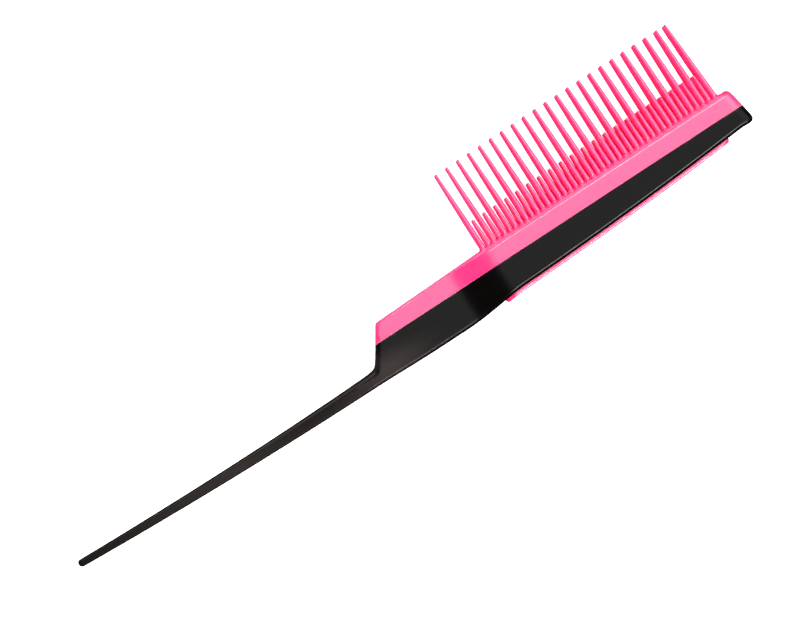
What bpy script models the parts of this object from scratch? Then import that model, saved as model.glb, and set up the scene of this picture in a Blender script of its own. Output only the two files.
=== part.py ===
"""A back-combing hair brush with a sectioning tail, in metres with +Z up.

The brush lies on the flat side of its head. +X runs from the tip of the tail to the end of the head,
+Y from the back of the head to the tips of the teeth, and +Z across the width of the head.

Every shape is drawn in the brush's own design frame: x from the tip of the tail, y above the parting
plane where the pink mouldings meet the black one, and z from the middle plane. The last step moves
everything so that the origin is at the bottom centre of the whole brush.
"""

import math

import bmesh
import bpy
from mathutils import Matrix, Vector

MM = 0.001

# Lengths along the brush, measured at the parting plane.
TAIL_LENGTH = 125.5 * MM
HANDLE_LENGTH = 32.5 * MM
WAIST_LENGTH = 15.0 * MM
WAIST_BACK_LEAD = 3.0 * MM
WAIST_BACK_OVERRUN = 7.0 * MM
WAIST_SIDE_OVERRUN = 3.5 * MM
HEAD_LENGTH = 101.35 * MM

# Widths across the brush.
HEAD_WIDTH = 17.0 * MM
HANDLE_WIDTH = 10.5 * MM
TAIL_ROOT_WIDTH = 4.8 * MM
TAIL_TIP_WIDTH = 2.6 * MM

# Heights above the parting plane, and depths below it.
PAD_HEIGHT = 7.3 * MM
INLAY_HEIGHT = 6.15 * MM
HANDLE_DEPTH = 12.85 * MM
HEAD_DEPTH_AT_WAIST = 10.95 * MM
HEAD_DEPTH_AT_END = 6.0 * MM
HEAD_BACK_BOW = 0.85 * MM
END_LIP_DEPTH = 0.35 * MM

# The tail: its upper edge sags to TAIL_TOP_DEPTH at TAIL_SAG_X and rises towards the tip.
TAIL_SAG_X = 80.0 * MM
TAIL_TOP_DEPTH = 7.52 * MM
TAIL_TIP_RISE = 1.6 * MM
TAIL_TIP_THICKNESS = 2.75 * MM
TAIL_ROOT_THICKNESS = 5.4 * MM
TAIL_UPPER_EDGE_SHARE = 0.43
TAIL_LOWER_EDGE_SHARE = 0.27

# The slanted end of the handle, and the fan of width between it and the tail.
SLANT_ANGLE = math.radians(57.3)
SLANT_FOOT_BLEND = 2.0 * MM
SLANT_CREST_BLEND = 0.4 * MM
FAN_LENGTH_TAILWARD = 60.0 * MM
FAN_LENGTH_HEADWARD = 2.0 * MM
EDGE_LEAD = 14.0 * MM
BELLY_LEAD = 8.5 * MM
SLANT_EDGE_RADIUS = 3.4 * MM

# Edge rounding and the leaning end of the head.
PAD_EDGE_RADIUS = 2.0 * MM
INLAY_EDGE_RADIUS = 0.9 * MM
BACK_EDGE_RADIUS = 1.6 * MM
END_LEAN = 0.17
END_LEAN_LENGTH = 8.0 * MM
END_PLAN_RADIUS = 4.0 * MM
END_TOP_RADIUS = 1.8 * MM
END_BACK_RADIUS = 2.0 * MM
LIP_START = 4.6 * MM
LIP_LENGTH = 2.5 * MM

# Walls, and the gaps that separate pieces keep.
WALL = 1.8 * MM
FLOOR = 2.4 * MM
TOOTH_BED = 2.4 * MM
GAP = 0.3 * MM
HANDLE_END_WALL = 6.0 * MM
HEAD_END_WALL = 3.0 * MM
CAVITY_PLAN_RADIUS = 2.0 * MM
CAVITY_ROOM_SHARE = 0.95
CAVITY_EDGE_RADIUS = 0.6 * MM

# The rim under the tooth pad, which locates it inside the black tray.
RIM_DEPTH = 3.0 * MM
RIM_WALL = 1.1 * MM
RIM_OVERLAP = 1.5 * MM

# Teeth.
TOOTH_ROWS = {"left": 1, "centre": 0, "right": -1}
OUTER_ROW_INSET = 2.3 * MM
LONG_COLUMNS = 22
FIRST_COLUMN = 1.05 * MM
LAST_COLUMN = 6.5 * MM
LONG_TOOTH = 30.0 * MM
LONG_BASE_RADIUS = 1.0 * MM
LONG_TIP_RADIUS = 0.52 * MM
SHORT_TOOTH = 10.2 * MM
SHORT_BASE_RADIUS = 0.88 * MM
SHORT_TIP_RADIUS = 0.5 * MM
TOOTH_CROWN = 0.35 * MM
LAST_TOOTH_LEAN = math.radians(1.9)
TOOTH_SIDES = 8
RAIL_WIDTH = 1.4 * MM
RAIL_SINK = 1.5 * MM
RAIL_OVERLAP = 0.6 * MM

# Posts under the tooth pad, which clip it through the floor of the tray.
POST_RADIUS = 2.0 * MM
POST_PLACES = (0.12, 0.47, 0.82)

# The back plate, and the pegs that hold it in the floor of the tray.
PLATE_WIDTH = 12.0 * MM
PLATE_PROUD = 1.35 * MM
PLATE_SINK = 0.5 * MM
PLATE_START = -2.0 * MM
PLATE_END = 10.0 * MM
PLATE_EDGE_RADIUS = 1.1 * MM
PLATE_PLAN_RADIUS = 4.0 * MM
PEG_RADIUS = 1.2 * MM
PEG_LENGTH = 2.2 * MM
PEG_PLACES = (0.05, 0.3, 0.64, 0.86)

# How finely the curved surfaces are divided.
CORNER_STEPS = 4
ROUND_SIDES = 16
END_STEPS = 5
TAIL_STATIONS = 7
FAN_STATIONS = 7
BELLY_STATIONS = 22
HANDLE_STATIONS = 4
WAIST_STATIONS = 11
HEAD_STATIONS = 7
END_STATIONS = 3
PLATE_STATIONS = 10
TIP_CAP_SHARE = 0.04
ROUNDING_ROOM_SHARE = 0.98
MERGE_DISTANCE = 0.01 * MM

PINK = (0.90, 0.075, 0.22, 1.0)
PINK_ROUGHNESS = 0.38
BLACK = (0.016, 0.014, 0.014, 1.0)
BLACK_ROUGHNESS = 0.48

HANDLE_X = TAIL_LENGTH
WAIST_X = HANDLE_X + HANDLE_LENGTH
HEAD_X = WAIST_X + WAIST_LENGTH
END_X = HEAD_X + HEAD_LENGTH
TALLEST = PAD_HEIGHT + LONG_TOOTH + HANDLE_DEPTH
ROW_SPACING = HEAD_WIDTH / 2.0 - OUTER_ROW_INSET
Z_TO_Y = Matrix.Rotation(math.radians(-90.0), 4, "X")


# ---------------------------------------------------------------- numbers


def ease(x, start, end):
    """0 before start and 1 after end, with a smooth rise between them."""
    share = min(max((x - start) / (end - start), 0.0), 1.0)
    return share * share * (3.0 - 2.0 * share)


def mix(a, b, share):
    return a + (b - a) * share


def soft_max(a, b, blend):
    return 0.5 * (a + b + math.hypot(a - b, blend))


def soft_min(a, b, blend):
    return 0.5 * (a + b - math.hypot(a - b, blend))


def end_inset(distance, radius):
    """How far a quarter-round end has come in at this distance from the end face."""
    if distance >= radius:
        return 0.0
    return radius - math.sqrt(radius**2 - (radius - max(distance, 0.0)) ** 2)


# ---------------------------------------------------------------- the outer form


def slant_height(x):
    """The slanted end of the handle, which crosses the parting plane at HANDLE_X."""
    return (x - HANDLE_X) * math.tan(SLANT_ANGLE)


def tail_top(x):
    share = (TAIL_SAG_X - x) / TAIL_SAG_X
    return TAIL_TIP_RISE * share * share - TAIL_TOP_DEPTH


def tail_thickness(x):
    return mix(TAIL_TIP_THICKNESS, TAIL_ROOT_THICKNESS, x / TAIL_LENGTH)


def form_top(x):
    """Upper edge of the whole form: tail, slanted handle end, inlay and tooth pad."""
    inlay = mix(INLAY_HEIGHT, PAD_HEIGHT, min(max((x - HANDLE_X) / (HEAD_X - HANDLE_X), 0.0), 1.0))
    rising = soft_max(tail_top(x), slant_height(x), SLANT_FOOT_BLEND)
    return soft_min(rising, inlay, SLANT_CREST_BLEND)


def head_back(x):
    """Back of the head, bowed between its depth at the waist and its depth at the end."""
    share = (x - HEAD_X) / HEAD_LENGTH
    straight = -mix(HEAD_DEPTH_AT_WAIST, HEAD_DEPTH_AT_END, share)
    return straight - HEAD_BACK_BOW * 4.0 * share * (1.0 - share)


def form_bottom(x):
    """Lower edge of the whole form: tail, handle, waist, head and the small lip at its end."""
    tail = tail_top(x) - tail_thickness(x)
    deepest_x = HANDLE_X + HANDLE_LENGTH / 2.0
    handle = mix(tail, -HANDLE_DEPTH, ease(x, HANDLE_X - BELLY_LEAD, deepest_x))
    body = mix(handle, head_back(x), ease(x, WAIST_X - WAIST_BACK_LEAD, HEAD_X + WAIST_BACK_OVERRUN))
    return body - END_LIP_DEPTH * ease(x, END_X - LIP_START, END_X - LIP_START + LIP_LENGTH)


def half_width(x):
    tail = mix(TAIL_TIP_WIDTH, TAIL_ROOT_WIDTH, min(x / TAIL_LENGTH, 1.0))
    grip = mix(tail, HANDLE_WIDTH, ease(x, HANDLE_X - FAN_LENGTH_TAILWARD, HANDLE_X + FAN_LENGTH_HEADWARD))
    return 0.5 * mix(grip, HEAD_WIDTH, ease(x, WAIST_X, HEAD_X + WAIST_SIDE_OVERRUN))


def edge_radii(x):
    """(lower, upper) rounding of the long edges at x."""
    thickness = tail_thickness(x)
    on_handle = ease(x, HANDLE_X - EDGE_LEAD, HANDLE_X)
    lower = mix(TAIL_LOWER_EDGE_SHARE * thickness, BACK_EDGE_RADIUS, on_handle)
    slant = mix(TAIL_UPPER_EDGE_SHARE * thickness, SLANT_EDGE_RADIUS, on_handle)
    crest_x = HANDLE_X + INLAY_HEIGHT / math.tan(SLANT_ANGLE)
    inlay = mix(slant, INLAY_EDGE_RADIUS, ease(x, crest_x - SLANT_EDGE_RADIUS, crest_x + SLANT_EDGE_RADIUS))
    upper = mix(inlay, PAD_EDGE_RADIUS, ease(x, WAIST_X, HEAD_X))
    return lower, upper


def leaned(x, y):
    """The end of the head leans: its face is further out at the back than at the top."""
    return x - END_LEAN * y * ease(x, END_X - END_LEAN_LENGTH, END_X)


# ---------------------------------------------------------------- lofts


def section(x, low, high, half, low_radius, high_radius):
    """A rounded rectangle across the brush at x, as a loop of points."""
    room = ROUNDING_ROOM_SHARE * min(half, 0.5 * (high - low))
    corners = (
        (1, low, min(low_radius, room), -90.0),
        (1, high, min(high_radius, room), 0.0),
        (-1, high, min(high_radius, room), 90.0),
        (-1, low, min(low_radius, room), 180.0),
    )
    loop = []
    for side, edge, radius, start in corners:
        centre_z = side * (half - radius)
        centre_y = edge + radius if edge == low else edge - radius
        for step in range(CORNER_STEPS + 1):
            angle = math.radians(start + 90.0 * step / CORNER_STEPS)
            y = centre_y + radius * math.sin(angle)
            z = centre_z + radius * math.cos(angle)
            loop.append(Vector((leaned(x, y), y, z)))
    return loop


def loft(bm, loops):
    """Skins a row of loops that have the same number of points, and closes both ends."""
    rings = [[bm.verts.new(point) for point in loop] for loop in loops]
    count = len(rings[0])
    for first, second in zip(rings, rings[1:]):
        for i in range(count):
            j = (i + 1) % count
            bm.faces.new((first[i], first[j], second[j], second[i]))
    bm.faces.new(reversed(rings[0]))
    bm.faces.new(rings[-1])
    bmesh.ops.recalc_face_normals(bm, faces=bm.faces)


def spaced(start, end, count):
    """count places from start up to, but not including, end."""
    return [mix(start, end, i / count) for i in range(count)]


def end_places(end, radius, direction):
    """Places that follow a quarter-round end: direction is 1 where the form grows towards +X."""
    angles = [math.radians(90.0 * i / END_STEPS) for i in range(END_STEPS)]
    depths = [radius * (1.0 - math.cos(angle)) for angle in angles]
    places = [end + direction * depth for depth in depths]
    return places if direction > 0 else places[::-1]


def form_places():
    fan_start = HANDLE_X - FAN_LENGTH_TAILWARD
    tip_radius = 0.5 * TAIL_TIP_THICKNESS
    places = end_places(TIP_CAP_SHARE * tip_radius, tip_radius, 1)
    places += spaced(tip_radius, fan_start, TAIL_STATIONS)
    places += spaced(fan_start, HANDLE_X - EDGE_LEAD, FAN_STATIONS)
    places += spaced(HANDLE_X - EDGE_LEAD, HANDLE_X + BELLY_LEAD, BELLY_STATIONS)
    places += spaced(HANDLE_X + BELLY_LEAD, WAIST_X, HANDLE_STATIONS)
    places += spaced(WAIST_X, HEAD_X + WAIST_BACK_OVERRUN, WAIST_STATIONS)
    places += spaced(HEAD_X + WAIST_BACK_OVERRUN, END_X - END_LEAN_LENGTH, HEAD_STATIONS)
    places += spaced(END_X - END_LEAN_LENGTH, END_X - END_PLAN_RADIUS, END_STATIONS)
    places += end_places(END_X, END_PLAN_RADIUS, -1)
    return places


def form_loops():
    """The outer form of body and tooth pad together, so that their sides are flush."""
    loops = []
    tip_radius = 0.5 * TAIL_TIP_THICKNESS
    for x in form_places():
        tip = end_inset(x, tip_radius)
        low = form_bottom(x) + tip + end_inset(END_X - x, END_BACK_RADIUS)
        high = form_top(x) - tip - end_inset(END_X - x, END_TOP_RADIUS)
        tip_across = tip * TAIL_TIP_WIDTH / TAIL_TIP_THICKNESS
        half = half_width(x) - tip_across - end_inset(END_X - x, END_PLAN_RADIUS)
        loops.append(section(x, low, high, half, *edge_radii(x)))
    return loops


def cavity_radius(x, inset):
    """Rounding in plan at the end of a space, which its width between the walls may limit."""
    return min(CAVITY_PLAN_RADIUS, CAVITY_ROOM_SHARE * (half_width(x) - inset))


def inner_loops(start, end, inset, low, high):
    """A space or core inside the form: inset from its sides, from low(x) to high(x)."""
    start_radius = cavity_radius(start, inset)
    end_radius = cavity_radius(end, inset)
    places = end_places(start, start_radius, 1)
    inside = [x for x in form_places() if start + start_radius < x < end - end_radius]
    places += inside[::2] + end_places(end, end_radius, -1)
    loops = []
    for x in places:
        rounding = end_inset(x - start, start_radius) + end_inset(end - x, end_radius)
        half = half_width(x) - inset - rounding
        loops.append(section(x, low(x), high(x), half, CAVITY_EDGE_RADIUS, CAVITY_EDGE_RADIUS))
    return loops


# ---------------------------------------------------------------- Blender objects


def new_object(name, mesh, collection, frame):
    obj = bpy.data.objects.new(name, mesh)
    collection.objects.link(obj)
    obj.parent = frame
    return obj


def mesh_from(bm, name):
    mesh = bpy.data.meshes.new(name)
    bm.to_mesh(mesh)
    bm.free()
    return mesh


def loft_mesh(name, loops):
    bm = bmesh.new()
    loft(bm, loops)
    return mesh_from(bm, name)


def block_mesh(name, low, high):
    """A box between two corners."""
    size = Vector(high) - Vector(low)
    centre = (Vector(high) + Vector(low)) / 2.0
    bm = bmesh.new()
    bmesh.ops.create_cube(bm, size=1.0)
    stretch = Matrix.Translation(centre) @ Matrix.Diagonal((*size, 1.0))
    bmesh.ops.transform(bm, matrix=stretch, verts=bm.verts)
    return mesh_from(bm, name)


def round_bars(name, places, radius, low, high):
    """Round bars along y on the middle plane, each from low(x) to high(x)."""
    bm = bmesh.new()
    for x in places:
        length = high(x) - low(x)
        stand = Matrix.Translation((x, low(x) + length / 2.0, 0.0)) @ Z_TO_Y
        bmesh.ops.create_cone(
            bm,
            cap_ends=True,
            segments=ROUND_SIDES,
            radius1=radius,
            radius2=radius,
            depth=length,
            matrix=stand,
        )
    return mesh_from(bm, name)


def helper(name, mesh, helpers, frame):
    """A cutter or an adder, which isn't part of the brush itself."""
    obj = new_object(name, mesh, helpers, frame)
    obj.hide_render = True
    obj.display_type = "WIRE"
    return obj


def boolean(obj, operation, other):
    modifier = obj.modifiers.new(f"{operation.lower()}_{other.name}", "BOOLEAN")
    modifier.operation = operation
    modifier.object = other
    modifier.solver = "EXACT"


def plastic(name, colour, roughness):
    material = bpy.data.materials.new(name)
    material.use_nodes = True
    shader = material.node_tree.nodes["Principled BSDF"]
    shader.inputs["Base Color"].default_value = colour
    shader.inputs["Roughness"].default_value = roughness
    shader.inputs["Metallic"].default_value = 0.0
    return material


# ---------------------------------------------------------------- places that pieces share


def post_places():
    return [HEAD_X + share * HEAD_LENGTH for share in POST_PLACES]


def peg_places():
    return [HEAD_X + share * HEAD_LENGTH for share in PEG_PLACES]


def tray_start():
    return HANDLE_X + HANDLE_END_WALL


def tray_end():
    return END_X - HEAD_END_WALL


def floor_top(x):
    return form_bottom(x) + FLOOR


def floor_clear(x):
    """A height inside the hollow, clear above the floor of the tray."""
    return floor_top(x) + FLOOR / 2.0


def below_back(x):
    """A height outside the brush, clear below its back."""
    return form_bottom(x) - FLOOR


def plate_back(x):
    return form_bottom(x) - PLATE_PROUD


def plate_seat(x):
    """Inner face of the back plate, which lies in a shallow recess."""
    return form_bottom(x) + PLATE_SINK


def recess_top(x):
    return plate_seat(x) + GAP


# ---------------------------------------------------------------- pieces


def make_body(parts, helpers, frame, black):
    """The black moulding: hollow head and handle, and the solid tail."""
    body = new_object("body", loft_mesh("body", form_loops()), parts, frame)
    body.data.materials.append(black)

    above = block_mesh("above_parting", (-END_X, -GAP / 2.0, -END_X), (2.0 * END_X, TALLEST, END_X))
    boolean(body, "DIFFERENCE", helper("above_parting", above, helpers, frame))

    hollow = inner_loops(tray_start(), tray_end(), WALL, floor_top, lambda x: PAD_HEIGHT)
    boolean(body, "DIFFERENCE", helper("body_hollow", loft_mesh("body_hollow", hollow), helpers, frame))

    recess = loft_mesh("plate_recess", plate_loops(GAP, below_back, recess_top, 0.0))
    boolean(body, "DIFFERENCE", helper("plate_recess", recess, helpers, frame))

    post_holes = round_bars("post_holes", post_places(), POST_RADIUS + GAP, below_back, floor_clear)
    boolean(body, "DIFFERENCE", helper("post_holes", post_holes, helpers, frame))

    peg_holes = round_bars("peg_holes", peg_places(), PEG_RADIUS + GAP, below_back, floor_clear)
    boolean(body, "DIFFERENCE", helper("peg_holes", peg_holes, helpers, frame))


def make_tooth_pad(parts, helpers, frame, pink):
    """The pink moulding on top: the tooth bed over the head and the inlay along the handle."""
    pad = new_object("tooth_pad", loft_mesh("tooth_pad", form_loops()), parts, frame)
    pad.data.materials.append(pink)

    below = block_mesh("below_parting", (-END_X, -TALLEST, -END_X), (2.0 * END_X, GAP / 2.0, END_X))
    boolean(pad, "DIFFERENCE", helper("below_parting", below, helpers, frame))

    rim_start = tray_start() + GAP
    rim_end = tray_end() - GAP
    rim = inner_loops(rim_start, rim_end, WALL + GAP, lambda x: -RIM_DEPTH, lambda x: RIM_OVERLAP)
    boolean(pad, "UNION", helper("pad_rim", loft_mesh("pad_rim", rim), helpers, frame))

    hollow = inner_loops(
        rim_start + RIM_WALL,
        rim_end - RIM_WALL,
        WALL + GAP + RIM_WALL,
        lambda x: -HANDLE_DEPTH,
        lambda x: form_top(x) - TOOTH_BED,
    )
    boolean(pad, "DIFFERENCE", helper("pad_hollow", loft_mesh("pad_hollow", hollow), helpers, frame))

    posts = round_bars(
        "pad_posts",
        post_places(),
        POST_RADIUS,
        lambda x: recess_top(x) + GAP,
        lambda x: form_top(x) - TOOTH_BED / 2.0,
    )
    boolean(pad, "UNION", helper("pad_posts", posts, helpers, frame))

    for row, side in TOOTH_ROWS.items():
        name = f"rail_slot_{row}"
        slot = rail_mesh(name, side, GAP, PAD_HEIGHT + TOOTH_BED)
        boolean(pad, "DIFFERENCE", helper(name, slot, helpers, frame))


def plate_loops(grow, low, high, edge_radius):
    """Loops of the back plate, or of the recess that it sits in with grow as its clearance."""
    start = HEAD_X + PLATE_START - grow
    end = END_X - PLATE_END + grow
    places = end_places(start, PLATE_PLAN_RADIUS, 1)
    places += spaced(start + PLATE_PLAN_RADIUS, end - PLATE_PLAN_RADIUS, PLATE_STATIONS)
    places += end_places(end, PLATE_PLAN_RADIUS, -1)
    loops = []
    for x in places:
        plan = end_inset(x - start, PLATE_PLAN_RADIUS) + end_inset(end - x, PLATE_PLAN_RADIUS)
        rise = end_inset(x - start, edge_radius) + end_inset(end - x, edge_radius) if edge_radius else 0.0
        half = PLATE_WIDTH / 2.0 + grow - plan
        loops.append(section(x, low(x) + rise, high(x), half, edge_radius, 0.0))
    return loops


def make_back_plate(parts, helpers, frame, pink):
    """The pink plate on the back of the head, which hides the ends of the pad's posts."""
    loops = plate_loops(0.0, plate_back, plate_seat, PLATE_EDGE_RADIUS)
    plate = new_object("back_plate", loft_mesh("back_plate", loops), parts, frame)
    plate.data.materials.append(pink)
    pegs = round_bars("pegs", peg_places(), PEG_RADIUS, form_bottom, lambda x: plate_seat(x) + PEG_LENGTH)
    boolean(plate, "UNION", helper("plate_pegs", pegs, helpers, frame))


def rail_mesh(name, side, grow, top):
    """The strip that one row of teeth stands on, or its slot with grow as its clearance."""
    first, last = column_x(0), column_x(2 * LONG_COLUMNS - 2)
    middle = side * ROW_SPACING
    low = (first - LONG_BASE_RADIUS - grow, PAD_HEIGHT - RAIL_SINK - grow, middle - RAIL_WIDTH / 2.0 - grow)
    high = (last + LONG_BASE_RADIUS + grow, top, middle + RAIL_WIDTH / 2.0 + grow)
    return block_mesh(name, low, high)


def column_x(column):
    """Place of a tooth column: even columns are long teeth, odd ones short."""
    first = HEAD_X + FIRST_COLUMN
    last = END_X - LAST_COLUMN
    return mix(first, last, column / (2.0 * LONG_COLUMNS - 2.0))


def crown(x):
    """The tips of the teeth follow a very flat arch, highest in the middle of the head."""
    first, last = column_x(0), column_x(2 * LONG_COLUMNS - 2)
    share = (2.0 * x - first - last) / (last - first)
    return TOOTH_CROWN * (1.0 - share * share)


def turned_mesh(name, profile, collection):
    """A solid of revolution about Z, from (radius, height) points run from top to bottom."""
    outline = bpy.data.meshes.new(name)
    points = [(radius, 0.0, height) for radius, height in profile]
    outline.from_pydata(points, [(i, i + 1) for i in range(len(points) - 1)], [])
    turning = bpy.data.objects.new(name, outline)
    collection.objects.link(turning)
    screw = turning.modifiers.new("turn", "SCREW")
    screw.steps = TOOTH_SIDES
    screw.render_steps = TOOTH_SIDES
    screw.use_merge_vertices = True
    screw.merge_threshold = MERGE_DISTANCE
    bpy.context.view_layer.update()
    evaluated = turning.evaluated_get(bpy.context.evaluated_depsgraph_get())
    solid = bpy.data.meshes.new_from_object(evaluated)
    bpy.data.objects.remove(turning)
    return solid


def tooth_mesh(length, base_radius, tip_radius, collection):
    """A straight taper with a short pointed tip, from the clearance over the pad to the full length."""
    height = length - GAP
    profile = [(0.0, height), (tip_radius, height - tip_radius), (base_radius, 0.0), (0.0, 0.0)]
    return turned_mesh("tooth", profile, collection)


def make_tooth_row(row, side, parts, helpers, frame, pink):
    """One row of long and short teeth on the strip that carries it."""
    start = PAD_HEIGHT + GAP
    long_solid = tooth_mesh(LONG_TOOTH, LONG_BASE_RADIUS, LONG_TIP_RADIUS, helpers)
    short_solid = tooth_mesh(SHORT_TOOTH, SHORT_BASE_RADIUS, SHORT_TIP_RADIUS, helpers)
    columns = 2 * LONG_COLUMNS - 1
    bm = bmesh.new()
    for column in range(columns):
        x = column_x(column)
        before = len(bm.verts)
        bm.from_mesh(short_solid if column % 2 else long_solid)
        bm.verts.ensure_lookup_table()
        lean = LAST_TOOTH_LEAN if column == columns - 1 else 0.0
        length = SHORT_TOOTH if column % 2 else LONG_TOOTH
        taller = 1.0 + crown(x) / length
        stand = (
            Matrix.Translation((x, start, side * ROW_SPACING))
            @ Matrix.Rotation(lean, 4, "Z")
            @ Z_TO_Y
            @ Matrix.Diagonal((1.0, 1.0, taller, 1.0))
        )
        bmesh.ops.transform(bm, matrix=stand, verts=bm.verts[before:])
    bmesh.ops.recalc_face_normals(bm, faces=bm.faces)
    teeth = helper(f"teeth_{row}", mesh_from(bm, f"teeth_{row}"), helpers, frame)
    name = f"tooth_row_{row}"
    rail = new_object(name, rail_mesh(name, side, 0.0, start + RAIL_OVERLAP), parts, frame)
    rail.data.materials.append(pink)
    boolean(rail, "UNION", teeth)
    bpy.data.meshes.remove(long_solid)
    bpy.data.meshes.remove(short_solid)


def centre_on_floor(parts, frame):
    """Moves the brush so that the origin is at the bottom centre of its bounding box."""
    bpy.context.view_layer.update()
    graph = bpy.context.evaluated_depsgraph_get()
    corners = []
    for obj in parts.objects:
        evaluated = obj.evaluated_get(graph)
        corners += [evaluated.matrix_world @ Vector(corner) for corner in evaluated.bound_box]
    low = [min(corner[axis] for corner in corners) for axis in range(3)]
    high = [max(corner[axis] for corner in corners) for axis in range(3)]
    frame.location = (-(low[0] + high[0]) / 2.0, -(low[1] + high[1]) / 2.0, -low[2])


def main():
    for obj in list(bpy.data.objects):
        bpy.data.objects.remove(obj)
    scene = bpy.context.scene
    parts = bpy.data.collections.new("back_combing_brush")
    helpers = bpy.data.collections.new("cutters_and_adders")
    scene.collection.children.link(parts)
    scene.collection.children.link(helpers)
    frame = bpy.data.objects.new("brush_frame", None)
    scene.collection.objects.link(frame)

    pink = plastic("pink_plastic", PINK, PINK_ROUGHNESS)
    black = plastic("black_plastic", BLACK, BLACK_ROUGHNESS)

    make_body(parts, helpers, frame, black)
    make_tooth_pad(parts, helpers, frame, pink)
    make_back_plate(parts, helpers, frame, pink)
    for row, side in TOOTH_ROWS.items():
        make_tooth_row(row, side, parts, helpers, frame, pink)
    centre_on_floor(parts, frame)


main()
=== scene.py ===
"""The look of the back-combing brush: its fine surfaces, two plastics, a plain pale studio and the camera.

Every piece is drawn in the brush's own design frame: x from the tip of the tail, y above the parting plane
where the pink mouldings meet the black one, and z from the middle plane. The shape formulas are those of
the CAD model, divided more finely. A piece's object then stands at DESIGN_ZERO, which is read from the frame.
"""

import math

import bmesh
import bpy
from mathutils import Matrix, Vector


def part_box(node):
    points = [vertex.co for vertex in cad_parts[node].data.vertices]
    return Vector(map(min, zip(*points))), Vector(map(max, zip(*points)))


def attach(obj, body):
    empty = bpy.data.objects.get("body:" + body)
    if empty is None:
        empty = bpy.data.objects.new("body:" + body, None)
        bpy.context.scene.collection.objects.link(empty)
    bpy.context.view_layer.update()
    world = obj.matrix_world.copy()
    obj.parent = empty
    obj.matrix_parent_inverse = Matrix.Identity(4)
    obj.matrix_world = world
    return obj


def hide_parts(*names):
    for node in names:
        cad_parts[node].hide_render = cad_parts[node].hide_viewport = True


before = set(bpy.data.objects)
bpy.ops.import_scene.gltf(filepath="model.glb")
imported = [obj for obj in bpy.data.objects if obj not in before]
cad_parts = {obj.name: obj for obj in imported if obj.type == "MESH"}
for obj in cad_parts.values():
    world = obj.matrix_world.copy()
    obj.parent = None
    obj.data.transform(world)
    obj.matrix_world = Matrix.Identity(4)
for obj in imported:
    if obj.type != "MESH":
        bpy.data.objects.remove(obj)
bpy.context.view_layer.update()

MM = 0.001

# ---------------------------------------------------------------- sizes of the CAD model

# Lengths along the brush, measured at the parting plane.
TAIL_LENGTH = 125.5 * MM
HANDLE_LENGTH = 32.5 * MM
WAIST_LENGTH = 15.0 * MM
WAIST_BACK_LEAD = 3.0 * MM
WAIST_BACK_OVERRUN = 7.0 * MM
WAIST_SIDE_OVERRUN = 3.5 * MM
HEAD_LENGTH = 101.35 * MM

# Widths across the brush. The head's width is read from the frame below.
HANDLE_WIDTH = 10.5 * MM
TAIL_ROOT_WIDTH = 4.8 * MM
TAIL_TIP_WIDTH = 2.6 * MM

# Heights above the parting plane, and depths below it.
INLAY_HEIGHT = 6.15 * MM
HANDLE_DEPTH = 12.85 * MM
HEAD_DEPTH_AT_WAIST = 10.95 * MM
HEAD_DEPTH_AT_END = 6.0 * MM
HEAD_BACK_BOW = 0.85 * MM
END_LIP_DEPTH = 0.35 * MM

# The tail: its upper edge sags to TAIL_TOP_DEPTH at TAIL_SAG_X and rises towards the tip.
TAIL_SAG_X = 80.0 * MM
TAIL_TOP_DEPTH = 7.52 * MM
TAIL_TIP_RISE = 1.6 * MM
TAIL_TIP_THICKNESS = 2.75 * MM
TAIL_ROOT_THICKNESS = 5.4 * MM
TAIL_UPPER_EDGE_SHARE = 0.43
TAIL_LOWER_EDGE_SHARE = 0.27
TIP_CAP_SHARE = 0.04

# The slanted end of the handle, the fan of width between it and the tail, and how far before the handle
# its edge roundings and its deeper belly begin.
SLANT_ANGLE = math.radians(57.3)
SLANT_FOOT_BLEND = 2.0 * MM
SLANT_CREST_BLEND = 0.4 * MM
FAN_LENGTH_TAILWARD = 60.0 * MM
FAN_LENGTH_HEADWARD = 2.0 * MM
EDGE_LEAD = 14.0 * MM
BELLY_LEAD = 8.5 * MM
SLANT_EDGE_RADIUS = 3.4 * MM

# Edge rounding and the leaning end of the head.
PAD_EDGE_RADIUS = 2.0 * MM
INLAY_EDGE_RADIUS = 0.9 * MM
BACK_EDGE_RADIUS = 1.6 * MM
END_LEAN = 0.17
END_LEAN_LENGTH = 8.0 * MM
END_PLAN_RADIUS = 4.0 * MM
END_TOP_RADIUS = 1.8 * MM
END_BACK_RADIUS = 2.0 * MM
LIP_START = 4.6 * MM
LIP_LENGTH = 2.5 * MM

# Teeth.
LONG_COLUMNS = 22
FIRST_COLUMN = 1.05 * MM
LAST_COLUMN = 6.5 * MM
LONG_TOOTH = 30.0 * MM
SHORT_TOOTH = 10.2 * MM
TOOTH_CROWN = 0.35 * MM
LAST_TOOTH_LEAN = math.radians(1.9)

# The back plate.
PLATE_START = -2.0 * MM
PLATE_END = 10.0 * MM
PLATE_SINK = 0.5 * MM
PLATE_PROUD = 1.35 * MM
PLATE_PLAN_RADIUS = 4.0 * MM

# The clearance that the CAD model keeps between touching pieces.
CAD_GAP = 0.3 * MM

# ---------------------------------------------------------------- sizes of the fine surfaces

# The moulded seams are much finer than the CAD model's clearance.
SEAM = 0.06 * MM
SEAM_EDGE_BREAK = 0.09 * MM
SEAM_EDGE_SEGMENTS = 2
PLATE_SEAM = 0.14 * MM

# The back plate's base ends in a fine step, and the raised face on it is rounded more.
PLATE_STEP = 0.22 * MM
PLATE_STEP_AT = 0.62 * MM
PLATE_STEP_RADIUS = 0.12 * MM
PLATE_FACE_RADIUS = 0.7 * MM

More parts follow.
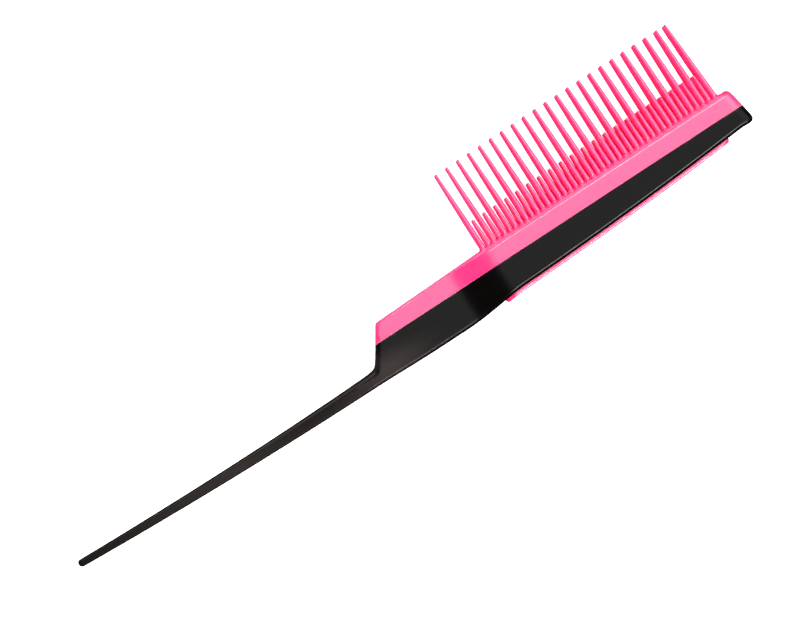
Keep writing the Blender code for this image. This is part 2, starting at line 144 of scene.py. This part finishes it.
# A long tooth swells towards its root a little more than a straight taper does.
LONG_BASE_RADIUS = 0.97 * MM
LONG_TIP_RADIUS = 0.50 * MM
LONG_SWELL = 1.5
SHORT_BASE_RADIUS = 0.87 * MM
SHORT_TIP_RADIUS = 0.48 * MM
SHORT_SWELL = 1.3
ROOT_FILLET = 0.8 * MM
ROOT_SINK = 0.4 * MM
TOOTH_SIDES = 28
TOOTH_RINGS = 16
TIP_RINGS = 7
TIP_END_ANGLE = 88.0
FILLET_RINGS = 7

# The edge roundings together take up no more than this share of a section's width or height.
ROUNDING_ROOM_SHARE = 0.98

# How finely the lofts are divided, and the angle from which an edge is shaded as a sharp one.
CORNER_STEPS = 14
SIDE_STEPS = 10
END_STEPS = 14
TAIL_STEP = 1.6 * MM
FINE_STEP = 0.35 * MM
WAIST_STEP = 0.5 * MM
MAIN_STEP = 1.2 * MM
SMOOTH_ANGLE = math.radians(35.0)

# ---------------------------------------------------------------- places read from the frame

BODY_LOW, BODY_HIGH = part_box("body")
PAD_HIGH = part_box("tooth_pad")[1]
PLATE_LOW, PLATE_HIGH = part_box("back_plate")
TIP_RADIUS = TAIL_TIP_THICKNESS / 2.0
DESIGN_ZERO = Vector(
    (
        BODY_LOW.x - TIP_CAP_SHARE * TIP_RADIUS,
        BODY_HIGH.y + CAD_GAP / 2.0,
        (BODY_LOW.z + BODY_HIGH.z) / 2.0,
    )
)
HEAD_WIDTH = BODY_HIGH.z - BODY_LOW.z
PLATE_WIDTH = PLATE_HIGH.z - PLATE_LOW.z
PAD_HEIGHT = PAD_HIGH.y - DESIGN_ZERO.y

HANDLE_X = TAIL_LENGTH
WAIST_X = HANDLE_X + HANDLE_LENGTH
HEAD_X = WAIST_X + WAIST_LENGTH
END_X = HEAD_X + HEAD_LENGTH
FAN_START = HANDLE_X - FAN_LENGTH_TAILWARD
FAN_END = HANDLE_X + FAN_LENGTH_HEADWARD
BELLY_START = HANDLE_X - EDGE_LEAD
BELLY_END = HANDLE_X + BELLY_LEAD


# ---------------------------------------------------------------- numbers


def ease(x, start, end):
    """0 before start and 1 after end, with a smooth rise between them."""
    share = min(max((x - start) / (end - start), 0.0), 1.0)
    return share * share * (3.0 - 2.0 * share)


def mix(a, b, share):
    return a + (b - a) * share


def soft_max(a, b, blend):
    return 0.5 * (a + b + math.hypot(a - b, blend))


def soft_min(a, b, blend):
    return 0.5 * (a + b - math.hypot(a - b, blend))


def end_inset(distance, radius):
    """How far a quarter-round end has come in at this distance from the end face."""
    if distance >= radius:
        return 0.0
    return radius - math.sqrt(radius**2 - (radius - max(distance, 0.0)) ** 2)


# ---------------------------------------------------------------- the outer form


def slant_height(x):
    """The slanted end of the handle, which crosses the parting plane at HANDLE_X."""
    return (x - HANDLE_X) * math.tan(SLANT_ANGLE)


def tail_top(x):
    share = (TAIL_SAG_X - x) / TAIL_SAG_X
    return TAIL_TIP_RISE * share * share - TAIL_TOP_DEPTH


def tail_thickness(x):
    return mix(TAIL_TIP_THICKNESS, TAIL_ROOT_THICKNESS, x / TAIL_LENGTH)


def form_top(x):
    """Upper edge of the whole form: tail, slanted handle end, inlay and tooth pad."""
    inlay = mix(INLAY_HEIGHT, PAD_HEIGHT, min(max((x - HANDLE_X) / (HEAD_X - HANDLE_X), 0.0), 1.0))
    rising = soft_max(tail_top(x), slant_height(x), SLANT_FOOT_BLEND)
    return soft_min(rising, inlay, SLANT_CREST_BLEND)


def head_back(x):
    """Back of the head, bowed between its depth at the waist and its depth at the end."""
    share = (x - HEAD_X) / HEAD_LENGTH
    straight = -mix(HEAD_DEPTH_AT_WAIST, HEAD_DEPTH_AT_END, share)
    return straight - HEAD_BACK_BOW * 4.0 * share * (1.0 - share)


def form_bottom(x):
    """Lower edge of the whole form: tail, handle, waist, head and the small lip at its end."""
    tail = tail_top(x) - tail_thickness(x)
    deepest_x = HANDLE_X + HANDLE_LENGTH / 2.0
    handle = mix(tail, -HANDLE_DEPTH, ease(x, HANDLE_X - BELLY_LEAD, deepest_x))
    body = mix(handle, head_back(x), ease(x, WAIST_X - WAIST_BACK_LEAD, HEAD_X + WAIST_BACK_OVERRUN))
    return body - END_LIP_DEPTH * ease(x, END_X - LIP_START, END_X - LIP_START + LIP_LENGTH)


def half_width(x):
    tail = mix(TAIL_TIP_WIDTH, TAIL_ROOT_WIDTH, min(x / TAIL_LENGTH, 1.0))
    grip = mix(tail, HANDLE_WIDTH, ease(x, FAN_START, FAN_END))
    return 0.5 * mix(grip, HEAD_WIDTH, ease(x, WAIST_X, HEAD_X + WAIST_SIDE_OVERRUN))


def edge_radii(x):
    """(lower, upper) rounding of the long edges at x."""
    thickness = tail_thickness(x)
    on_handle = ease(x, BELLY_START, HANDLE_X)
    lower = mix(TAIL_LOWER_EDGE_SHARE * thickness, BACK_EDGE_RADIUS, on_handle)
    slant = mix(TAIL_UPPER_EDGE_SHARE * thickness, SLANT_EDGE_RADIUS, on_handle)
    crest_x = HANDLE_X + INLAY_HEIGHT / math.tan(SLANT_ANGLE)
    inlay = mix(slant, INLAY_EDGE_RADIUS, ease(x, crest_x - SLANT_EDGE_RADIUS, crest_x + SLANT_EDGE_RADIUS))
    upper = mix(inlay, PAD_EDGE_RADIUS, ease(x, WAIST_X, HEAD_X))
    return lower, upper


def leaned(x, y):
    """The end of the head leans: its face is further out at the back than at the top."""
    return x - END_LEAN * y * ease(x, END_X - END_LEAN_LENGTH, END_X)


def pad_surface(x, z):
    """Height of the tooth pad's surface, with its rounded long edges."""
    return form_top(x) - end_inset(half_width(x) - abs(z), edge_radii(x)[1])


# ---------------------------------------------------------------- lofts


def quarter(radius):
    """Insets of a quarter-round corner from its two straight edges, in step from one edge to the other."""
    if radius == 0.0:
        return [(0.0, 0.0)]
    angles = [math.radians(90.0 * step / CORNER_STEPS) for step in range(CORNER_STEPS + 1)]
    return [(radius * (1.0 - math.cos(angle)), radius * (1.0 - math.sin(angle))) for angle in angles]


def section(x, low, high, half, low_radius, high_radius):
    """A rounded rectangle across the brush at x, as a loop of points."""
    room = ROUNDING_ROOM_SHARE * min(half, 0.5 * (high - low))
    low_radius = min(low_radius, room)
    high_radius = min(high_radius, room)
    side = [(low + first, half - second) for first, second in quarter(low_radius)]
    for step in range(1, SIDE_STEPS):
        side.append((mix(low + low_radius, high - high_radius, step / SIDE_STEPS), half))
    side += [(high - second, half - first) for first, second in quarter(high_radius)]
    mirrored = [(y, -z) for y, z in reversed(side)]
    return [Vector((leaned(x, y), y, z)) for y, z in side + mirrored]


def loft(bm, loops):
    """Skins a row of loops that have the same number of points, and closes both ends."""
    rings = [[bm.verts.new(point) for point in loop] for loop in loops]
    count = len(rings[0])
    for first, second in zip(rings, rings[1:]):
        for i in range(count):
            j = (i + 1) % count
            bm.faces.new((first[i], first[j], second[j], second[i]))
    bm.faces.new(reversed(rings[0]))
    bm.faces.new(rings[-1])
    bmesh.ops.recalc_face_normals(bm, faces=bm.faces)


def stations(start, end, step):
    """Evenly spaced places from start up to, but not including, end."""
    count = max(1, round((end - start) / step))
    return [mix(start, end, i / count) for i in range(count)]


def end_places(end, radius, direction):
    """Places that follow a quarter-round end: direction is 1 where the form grows towards +X."""
    angles = [math.radians(90.0 * i / END_STEPS) for i in range(END_STEPS)]
    depths = [radius * (1.0 - math.cos(angle)) for angle in angles]
    places = [end + direction * depth for depth in depths]
    return places if direction > 0 else places[::-1]


def form_places():
    places = end_places(TIP_CAP_SHARE * TIP_RADIUS, TIP_RADIUS, 1)
    places += stations(TIP_RADIUS, FAN_START, TAIL_STEP)
    places += stations(FAN_START, BELLY_START, MAIN_STEP)
    places += stations(BELLY_START, BELLY_END, FINE_STEP)
    places += stations(BELLY_END, WAIST_X - WAIST_BACK_LEAD, MAIN_STEP)
    places += stations(WAIST_X - WAIST_BACK_LEAD, HEAD_X + WAIST_BACK_OVERRUN, WAIST_STEP)
    places += stations(HEAD_X + WAIST_BACK_OVERRUN, END_X - END_LEAN_LENGTH, MAIN_STEP)
    places += stations(END_X - END_LEAN_LENGTH, END_X - END_PLAN_RADIUS, FINE_STEP)
    places += end_places(END_X, END_PLAN_RADIUS, -1)
    return places


def form_loops():
    """The outer form of body and tooth pad together, so that their sides are flush."""
    loops = []
    for x in form_places():
        tip = end_inset(x, TIP_RADIUS)
        low = form_bottom(x) + tip + end_inset(END_X - x, END_BACK_RADIUS)
        high = form_top(x) - tip - end_inset(END_X - x, END_TOP_RADIUS)
        tip_across = tip * TAIL_TIP_WIDTH / TAIL_TIP_THICKNESS
        half = half_width(x) - tip_across - end_inset(END_X - x, END_PLAN_RADIUS)
        loops.append(section(x, low, high, half, *edge_radii(x)))
    return loops


def plate_loops(grow, proud, sink, edge_radius):
    """Loops of the back plate, or of the recess that it sits in with grow as its clearance."""
    start = HEAD_X + PLATE_START - grow
    end = END_X - PLATE_END + grow
    places = end_places(start, PLATE_PLAN_RADIUS, 1)
    places += stations(start + PLATE_PLAN_RADIUS, end - PLATE_PLAN_RADIUS, MAIN_STEP)
    places += end_places(end, PLATE_PLAN_RADIUS, -1)
    loops = []
    for x in places:
        plan = end_inset(x - start, PLATE_PLAN_RADIUS) + end_inset(end - x, PLATE_PLAN_RADIUS)
        rise = end_inset(x - start, edge_radius) + end_inset(end - x, edge_radius)
        half = PLATE_WIDTH / 2.0 + grow - plan
        low = form_bottom(x) - proud + rise
        loops.append(section(x, low, form_bottom(x) + sink, half, edge_radius, 0.0))
    return loops


# ---------------------------------------------------------------- Blender objects


def mesh_from(bm, name):
    mesh = bpy.data.meshes.new(name)
    bm.to_mesh(mesh)
    bm.free()
    return mesh


def new_object(name, mesh):
    obj = bpy.data.objects.new(name, mesh)
    bpy.context.scene.collection.objects.link(obj)
    obj.location = DESIGN_ZERO
    return obj


def apply_modifiers(obj):
    bpy.context.view_layer.update()
    evaluated = obj.evaluated_get(bpy.context.evaluated_depsgraph_get())
    solid = bpy.data.meshes.new_from_object(evaluated)
    obj.modifiers.clear()
    obj.data = solid


def boolean(obj, operation, mesh, solver):
    """Cuts a mesh out of a piece or adds it to the piece, and keeps the result as the piece's mesh."""
    other = new_object("tool", mesh)
    modifier = obj.modifiers.new("boolean", "BOOLEAN")
    modifier.operation = operation
    modifier.solver = solver
    modifier.object = other
    apply_modifiers(obj)
    bpy.data.objects.remove(other)


def smooth(obj):
    """Smooth shading in which the large faces keep their own direction up to a fine edge break."""
    obj.data.shade_smooth()
    obj.data.set_sharp_from_angle(angle=SMOOTH_ANGLE)
    weighted = obj.modifiers.new("weighted_normals", "WEIGHTED_NORMAL")
    weighted.keep_sharp = True


def finish_piece(obj, material, slot, *nodes):
    """Shades the piece, gives it its plastic, and lets it stand for its CAD nodes."""
    obj.data.materials.clear()
    obj.data.materials.append(material)
    smooth(obj)
    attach(obj, "root")
    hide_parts(*nodes)


# ---------------------------------------------------------------- the two big mouldings and the plate


def split_form(name, height, keep_above):
    """The part of the outer form on one side of a level cut, with a fine edge break round the cut."""
    bm = bmesh.new()
    loft(bm, form_loops())
    bmesh.ops.bisect_plane(
        bm,
        geom=bm.verts[:] + bm.edges[:] + bm.faces[:],
        plane_co=(0.0, height, 0.0),
        plane_no=(0.0, 1.0, 0.0),
        clear_outer=not keep_above,
        clear_inner=keep_above,
    )
    rim = [edge for edge in bm.edges if edge.is_boundary]
    bmesh.ops.contextual_create(bm, geom=rim)
    bmesh.ops.recalc_face_normals(bm, faces=bm.faces)
    bmesh.ops.bevel(
        bm,
        geom=rim,
        offset=SEAM_EDGE_BREAK,
        segments=SEAM_EDGE_SEGMENTS,
        profile=0.5,
        affect="EDGES",
        clamp_overlap=True,
    )
    return new_object(name, mesh_from(bm, name))


def make_body(material):
    body = split_form("body", -SEAM / 2.0, False)
    bm = bmesh.new()
    loft(bm, plate_loops(PLATE_SEAM, PLATE_PROUD + PLATE_SINK, PLATE_SINK + PLATE_SEAM, 0.0))
    boolean(body, "DIFFERENCE", mesh_from(bm, "plate_recess"), "EXACT")
    finish_piece(body, material, "black_plastic", "body")


def make_tooth_pad(material):
    pad = split_form("tooth_pad", SEAM / 2.0, True)
    finish_piece(pad, material, "pink_plastic", "tooth_pad")


def make_back_plate(material):
    """The plate has a fine step all round it: a base, and a slightly smaller raised face on it."""
    bm = bmesh.new()
    loft(bm, plate_loops(0.0, PLATE_STEP_AT, PLATE_SINK, PLATE_STEP_RADIUS))
    plate = new_object("back_plate", mesh_from(bm, "back_plate"))
    bm = bmesh.new()
    loft(bm, plate_loops(-PLATE_STEP, PLATE_PROUD, PLATE_SINK / 2.0, PLATE_FACE_RADIUS))
    boolean(plate, "UNION", mesh_from(bm, "raised_face"), "MANIFOLD")
    finish_piece(plate, material, "pink_plastic", "back_plate")


# ---------------------------------------------------------------- teeth


def column_x(column):
    """Place of a tooth column: even columns are long teeth, odd ones short."""
    return mix(HEAD_X + FIRST_COLUMN, END_X - LAST_COLUMN, column / (2.0 * LONG_COLUMNS - 2.0))


def crown(x):
    """The tips of the teeth follow a very flat arch, highest in the middle of the head."""
    first, last = column_x(0), column_x(2 * LONG_COLUMNS - 2)
    share = (2.0 * x - first - last) / (last - first)
    return TOOTH_CROWN * (1.0 - share * share)


def tooth_profile(length, base_radius, tip_radius, swell):
    """(radius, height) points from the sunk root over the fillet and the taper to the round tip."""
    profile = [(base_radius + ROOT_FILLET, -ROOT_SINK)]
    for ring in range(FILLET_RINGS + 1):
        angle = math.radians(90.0 * ring / FILLET_RINGS)
        out = ROOT_FILLET * (1.0 - math.sin(angle))
        profile.append((base_radius + out, ROOT_FILLET * (1.0 - math.cos(angle))))
    shoulder = length - tip_radius
    for ring in range(1, TOOTH_RINGS + 1):
        share = ring / TOOTH_RINGS
        height = mix(ROOT_FILLET, shoulder, share)
        profile.append((mix(base_radius, tip_radius, share**swell), height))
    for ring in range(1, TIP_RINGS + 1):
        angle = math.radians(TIP_END_ANGLE * ring / TIP_RINGS)
        profile.append((tip_radius * math.cos(angle), shoulder + tip_radius * math.sin(angle)))
    return profile


def add_tooth(bm, x, z, profile, lean):
    """A turned tooth whose root fillet is draped over the pad's surface."""
    centre = pad_surface(x, z)
    upright = Matrix.Translation((x, centre, z)) @ Matrix.Rotation(lean, 4, "Z")
    rings = []
    for radius, height in profile:
        drape = 1.0 - min(max(height / ROOT_FILLET, 0.0), 1.0)
        ring = []
        for side in range(TOOTH_SIDES):
            angle = 2.0 * math.pi * side / TOOTH_SIDES
            point = upright @ Vector((radius * math.cos(angle), height, radius * math.sin(angle)))
            point.y += drape * (pad_surface(point.x, point.z) - centre)
            ring.append(bm.verts.new(point))
        rings.append(ring)
    for low, high in zip(rings, rings[1:]):
        for i in range(TOOTH_SIDES):
            j = (i + 1) % TOOTH_SIDES
            bm.faces.new((low[i], high[i], high[j], low[j]))
    bm.faces.new(rings[0])
    bm.faces.new(reversed(rings[-1]))


def teeth_mesh(name, z, columns, length, profile_sizes):
    last_column = 2 * LONG_COLUMNS - 2
    bm = bmesh.new()
    for column in columns:
        x = column_x(column)
        lean = LAST_TOOTH_LEAN if column == last_column else 0.0
        profile = tooth_profile(length + crown(x), *profile_sizes)
        add_tooth(bm, x, z, profile, lean)
    bmesh.ops.recalc_face_normals(bm, faces=bm.faces)
    return mesh_from(bm, name)


def make_tooth_row(node, material):
    """One row of long and short teeth, joined into one closed surface."""
    low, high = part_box(node)
    z = (low.z + high.z) / 2.0 - DESIGN_ZERO.z
    all_columns = range(2 * LONG_COLUMNS - 1)
    long_sizes = (LONG_BASE_RADIUS, LONG_TIP_RADIUS, LONG_SWELL)
    short_sizes = (SHORT_BASE_RADIUS, SHORT_TIP_RADIUS, SHORT_SWELL)
    row = new_object(node, teeth_mesh(node, z, all_columns[::2], LONG_TOOTH, long_sizes))
    short_teeth = teeth_mesh("short_teeth", z, all_columns[1::2], SHORT_TOOTH, short_sizes)
    boolean(row, "UNION", short_teeth, "MANIFOLD")
    finish_piece(row, material, "pink_plastic", node)


# ---------------------------------------------------------------- plastics

PINK_LIGHT = (0.96, 0.021, 0.165, 1.0)
PINK_DEEP = (0.94, 0.018, 0.153, 1.0)
PINK_GLOW_SHARE = 0.6
PINK_GLOW_REACH = (1.0, 0.10, 0.20)
PINK_GLOW_DEPTH = 2.0 * MM
PINK_SPECULAR = 0.95
PINK_ROUGHNESS = (0.27, 0.33)
PINK_COAT = 0.75
PINK_COAT_ROUGHNESS = 0.22
PINK_FLOW_SCALE = 70.0
PINK_FLOW_DETAIL = 3.0
PINK_GRAIN_SCALE = 2600.0
PINK_GRAIN_DETAIL = 4.0
PINK_GRAIN_DEPTH = 0.006 * MM

BLACK_LIGHT = (0.0020, 0.0015, 0.0013, 1.0)
BLACK_DEEP = (0.0003, 0.0002, 0.0002, 1.0)
BLACK_SPECULAR = 0.15
BLACK_ROUGHNESS = (0.17, 0.25)
BLACK_CLOUD_SCALE = 900.0
BLACK_CLOUD_DETAIL = 4.0
BLACK_PIT_SCALE = 2400.0
BLACK_PIT_DETAIL = 5.0
BLACK_PIT_DEPTH = 0.018 * MM

# A painted sheen on the black: a lighter, warmer, more metallic patch around the root of the tail, fading out
# along the tail.
PAINTED_SHEEN_BLACK = (0.040, 0.033, 0.031, 1.0)
PAINTED_SHEEN_METALLIC = 0.95
PAINTED_SHEEN_FALL = -2.2
PAINTED_SHEEN_X = 122.0 * MM
PAINTED_SHEEN_Y = -9.3 * MM
PAINTED_SHEEN_HEADWARD = 20.0 * MM
PAINTED_SHEEN_TAILWARD = 130.0 * MM
PAINTED_SHEEN_ACROSS = 6.5 * MM


def new_material(name):
    material = bpy.data.materials.new(name)
    material.use_nodes = True
    return material, material.node_tree, material.node_tree.nodes["Principled BSDF"]


def noise(tree, place, features_per_metre, detail):
    """A 0 to 1 noise over the piece."""
    node = tree.nodes.new("ShaderNodeTexNoise")
    node.inputs["Scale"].default_value = features_per_metre
    node.inputs["Detail"].default_value = detail
    tree.links.new(place, node.inputs["Vector"])
    return node.outputs["Fac"]


def ramp(tree, value, ends):
    """Maps a 0 to 1 value to the range between the two ends."""
    node = tree.nodes.new("ShaderNodeMapRange")
    node.inputs["To Min"].default_value, node.inputs["To Max"].default_value = ends
    tree.links.new(value, node.inputs["Value"])
    return node.outputs["Result"]


def colour_sockets(sockets):
    return [socket for socket in sockets if socket.type == "RGBA"]


def two_tone(tree, value, first, second):
    """Mixes two colours, of which the first may be a socket, by a 0 to 1 value."""
    node = tree.nodes.new("ShaderNodeMix")
    node.data_type = "RGBA"
    first_input, second_input = colour_sockets(node.inputs)
    if isinstance(first, tuple):
        first_input.default_value = first
    else:
        tree.links.new(first, first_input)
    second_input.default_value = second
    tree.links.new(value, node.inputs["Factor"])
    return colour_sockets(node.outputs)[0]


def bump(tree, value, depth):
    node = tree.nodes.new("ShaderNodeBump")
    node.inputs["Distance"].default_value = depth
    tree.links.new(value, node.inputs["Height"])
    return node.outputs["Normal"]


def arithmetic(tree, operation, first, second):
    """A maths node whose inputs are sockets or plain numbers."""
    node = tree.nodes.new("ShaderNodeMath")
    node.operation = operation
    for socket, value in zip(node.inputs, (first, second)):
        if isinstance(value, float):
            socket.default_value = value
        else:
            tree.links.new(value, socket)
    return node.outputs["Value"]


def make_pink():
    """Self-coloured, slightly translucent hot pink plastic with a gloss and faint flow marks."""
    material, tree, shader = new_material("pink_plastic")
    place = tree.nodes.new("ShaderNodeTexCoord").outputs["Object"]
    flow = noise(tree, place, PINK_FLOW_SCALE, PINK_FLOW_DETAIL)
    grain = noise(tree, place, PINK_GRAIN_SCALE, PINK_GRAIN_DETAIL)
    tree.links.new(two_tone(tree, flow, PINK_LIGHT, PINK_DEEP), shader.inputs["Base Color"])
    tree.links.new(ramp(tree, grain, PINK_ROUGHNESS), shader.inputs["Roughness"])
    tree.links.new(bump(tree, grain, PINK_GRAIN_DEPTH), shader.inputs["Normal"])
    shader.inputs["Subsurface Weight"].default_value = PINK_GLOW_SHARE
    shader.inputs["Subsurface Radius"].default_value = PINK_GLOW_REACH
    shader.inputs["Subsurface Scale"].default_value = PINK_GLOW_DEPTH
    shader.inputs["Specular IOR Level"].default_value = PINK_SPECULAR
    shader.inputs["Coat Weight"].default_value = PINK_COAT
    shader.inputs["Coat Roughness"].default_value = PINK_COAT_ROUGHNESS
    return material


def painted_sheen_share(tree, place):
    """1 where the painted sheen on the black is strongest, falling smoothly to 0 around it."""
    split = tree.nodes.new("ShaderNodeSeparateXYZ")
    tree.links.new(place, split.inputs["Vector"])
    along = arithmetic(tree, "SUBTRACT", split.outputs["X"], PAINTED_SHEEN_X)
    headward = arithmetic(tree, "DIVIDE", along, PAINTED_SHEEN_HEADWARD)
    tailward = arithmetic(tree, "DIVIDE", along, -PAINTED_SHEEN_TAILWARD)
    reach = arithmetic(tree, "MAXIMUM", headward, tailward)
    off_middle = arithmetic(tree, "SUBTRACT", split.outputs["Y"], PAINTED_SHEEN_Y)
    across = arithmetic(tree, "DIVIDE", off_middle, PAINTED_SHEEN_ACROSS)
    squares = arithmetic(
        tree,
        "ADD",
        arithmetic(tree, "MULTIPLY", reach, reach),
        arithmetic(tree, "MULTIPLY", across, across),
    )
    return arithmetic(tree, "EXPONENT", arithmetic(tree, "MULTIPLY", squares, PAINTED_SHEEN_FALL), 0.0)


def make_black():
    """Low-gloss black plastic with the fine grain of a spark-eroded mould, and a painted sheen round the root
    of the tail.
    """
    material, tree, shader = new_material("black_plastic")
    place = tree.nodes.new("ShaderNodeTexCoord").outputs["Object"]
    cloud = noise(tree, place, BLACK_CLOUD_SCALE, BLACK_CLOUD_DETAIL)
    pits = noise(tree, place, BLACK_PIT_SCALE, BLACK_PIT_DETAIL)
    # Painted sheen: where this mask is high, the black is lightened to a warm grey-brown and made metallic.
    painted_sheen = painted_sheen_share(tree, place)
    black = two_tone(tree, cloud, BLACK_LIGHT, BLACK_DEEP)
    tree.links.new(two_tone(tree, painted_sheen, black, PAINTED_SHEEN_BLACK), shader.inputs["Base Color"])
    tree.links.new(arithmetic(tree, "MULTIPLY", painted_sheen, PAINTED_SHEEN_METALLIC), shader.inputs["Metallic"])
    tree.links.new(ramp(tree, pits, BLACK_ROUGHNESS), shader.inputs["Roughness"])
    tree.links.new(bump(tree, pits, BLACK_PIT_DEPTH), shader.inputs["Normal"])
    shader.inputs["Specular IOR Level"].default_value = BLACK_SPECULAR
    return material


# ---------------------------------------------------------------- studio

FLOOR_RADIUS = 3.0
FLOOR_GLOW = 0.9
FLOOR_COLOUR = (0.85, 0.85, 0.85, 1.0)
FLOOR_WALL_HEIGHT = 2.0
FLOOR_COVE_RADIUS = 0.8
FLOOR_COVE_STEPS = 12
FLOOR_SIDES = 96
WHITE = (1.0, 1.0, 1.0, 1.0)
SKY_STRENGTH = 0.05

# The lamps aim at this point. Each has the two angles in degrees by which it leans from straight above,
# towards the head and towards the teeth, then its distance, its width and height, and its watts.
LIGHT_TARGET = Vector((0.03, 0.0, 0.0))
MAIN_LAMPS = {
    "key_box": (50.0, 0.0, 1.2, 1.4, 1.2, 9.8),
    "overhead_box": (3.5, 0.0, 1.3, 0.60, 0.58, 1.65),
    "upper_fill": (0.0, 68.0, 1.2, 0.9, 0.6, 3.4),
}
# These light the plastics but show in no gloss.
WASH_LAMPS = {
    "upper_wash": (0.0, 20.0, 1.2, 0.9, 0.12, 5.0),
    "lower_wash": (0.0, -40.0, 1.2, 0.9, 0.147, 12.0),
    "left_wash": (-60.0, 0.0, 1.2, 0.9, 0.9, 1.5),
}
# These show in the gloss only, as fine lines along the rounded edges of the handle and the head.
STRIP_LAMPS = {
    "upper_strip": (18.5, 20.0, 1.2, 0.9, 0.12, 7.6),
    "lower_strip": (22.0, -40.0, 1.2, 0.9, 0.147, 25.0),
}


def make_floor():
    """A pale round floor that curves up into a wall all round."""
    bm = bmesh.new()
    profile = [(0.0, 0.0), (FLOOR_RADIUS - FLOOR_COVE_RADIUS, 0.0)]
    for step in range(1, FLOOR_COVE_STEPS + 1):
        angle = math.radians(90.0 * step / FLOOR_COVE_STEPS)
        out = FLOOR_RADIUS - FLOOR_COVE_RADIUS + FLOOR_COVE_RADIUS * math.sin(angle)
        profile.append((out, FLOOR_COVE_RADIUS * (1.0 - math.cos(angle))))
    profile.append((FLOOR_RADIUS, FLOOR_WALL_HEIGHT))
    turns = [2.0 * math.pi * side / FLOOR_SIDES for side in range(FLOOR_SIDES)]
    centre = bm.verts.new((0.0, 0.0, 0.0))
    rings = []
    for radius, height in profile[1:]:
        rings.append([bm.verts.new((radius * math.cos(a), radius * math.sin(a), height)) for a in turns])
    for i in range(FLOOR_SIDES):
        j = (i + 1) % FLOOR_SIDES
        bm.faces.new((centre, rings[0][i], rings[0][j]))
        for inner, outer in zip(rings, rings[1:]):
            bm.faces.new((inner[i], outer[i], outer[j], inner[j]))
    floor = bpy.data.objects.new("studio_floor", mesh_from(bm, "studio_floor"))
    bpy.context.scene.collection.objects.link(floor)
    floor.data.shade_smooth()
    material, _, shader = new_material("studio_floor")
    shader.inputs["Base Color"].default_value = FLOOR_COLOUR
    shader.inputs["Roughness"].default_value = 1.0
    shader.inputs["Specular IOR Level"].default_value = 0.0
    shader.inputs["Emission Color"].default_value = WHITE
    shader.inputs["Emission Strength"].default_value = FLOOR_GLOW
    floor.data.materials.append(material)
    floor.visible_glossy = False
    floor.visible_shadow = False


def soft_box(name, toward_x, toward_y, distance, size_x, size_y, watts):
    """A rectangular lamp aimed at the brush, with its width along the brush."""
    lamp = bpy.data.lights.new(name, "AREA")
    lamp.shape = "RECTANGLE"
    lamp.size = size_x
    lamp.size_y = size_y
    lamp.energy = watts
    box = bpy.data.objects.new(name, lamp)
    bpy.context.scene.collection.objects.link(box)
    out = Vector((math.tan(math.radians(toward_x)), math.tan(math.radians(toward_y)), 1.0)).normalized()
    along = Vector((1.0, 0.0, 0.0))
    side = out.cross(along).normalized()
    along = side.cross(out).normalized()
    turn = Matrix((along, side, out)).transposed().to_4x4()
    box.matrix_world = Matrix.Translation(LIGHT_TARGET + out * distance) @ turn
    return box


def make_lights():
    main_boxes = {name: soft_box(name, *numbers) for name, numbers in MAIN_LAMPS.items()}
    main_boxes["overhead_box"].visible_camera = False
    for name, numbers in WASH_LAMPS.items():
        soft_box(name, *numbers).visible_glossy = False
    for name, numbers in STRIP_LAMPS.items():
        soft_box(name, *numbers).visible_diffuse = False
    world = bpy.data.worlds.new("studio_world")
    world.use_nodes = True
    background = world.node_tree.nodes["Background"]
    background.inputs["Color"].default_value = WHITE
    background.inputs["Strength"].default_value = SKY_STRENGTH
    bpy.context.scene.world = world


# ---------------------------------------------------------------- camera

CAMERA_TURN = math.radians(-33.2)
CAMERA_HEIGHT = 1.55
CAMERA_AIM_X = 139.10 * MM
CAMERA_AIM_Y = 5.53 * MM
VIEW_WIDTH = 0.2723
SENSOR_WIDTH = 36.0


def make_camera():
    """A long lens straight above the brush, turned so that the tail points down to the left."""
    camera = bpy.data.cameras.new("camera")
    camera.sensor_width = SENSOR_WIDTH
    camera.lens = SENSOR_WIDTH * CAMERA_HEIGHT / VIEW_WIDTH
    holder = bpy.data.objects.new("camera", camera)
    bpy.context.scene.collection.objects.link(holder)
    holder.location = DESIGN_ZERO + Vector((CAMERA_AIM_X, CAMERA_AIM_Y, CAMERA_HEIGHT))
    holder.rotation_euler = (0.0, 0.0, CAMERA_TURN)
    bpy.context.scene.camera = holder


def main():
    pink = make_pink()
    black = make_black()
    make_body(black)
    make_tooth_pad(pink)
    make_back_plate(pink)
    for node in ("tooth_row_left", "tooth_row_centre", "tooth_row_right"):
        make_tooth_row(node, pink)
    make_floor()
    make_lights()
    make_camera()
    bpy.context.scene.view_settings.view_transform = "Standard"


main()
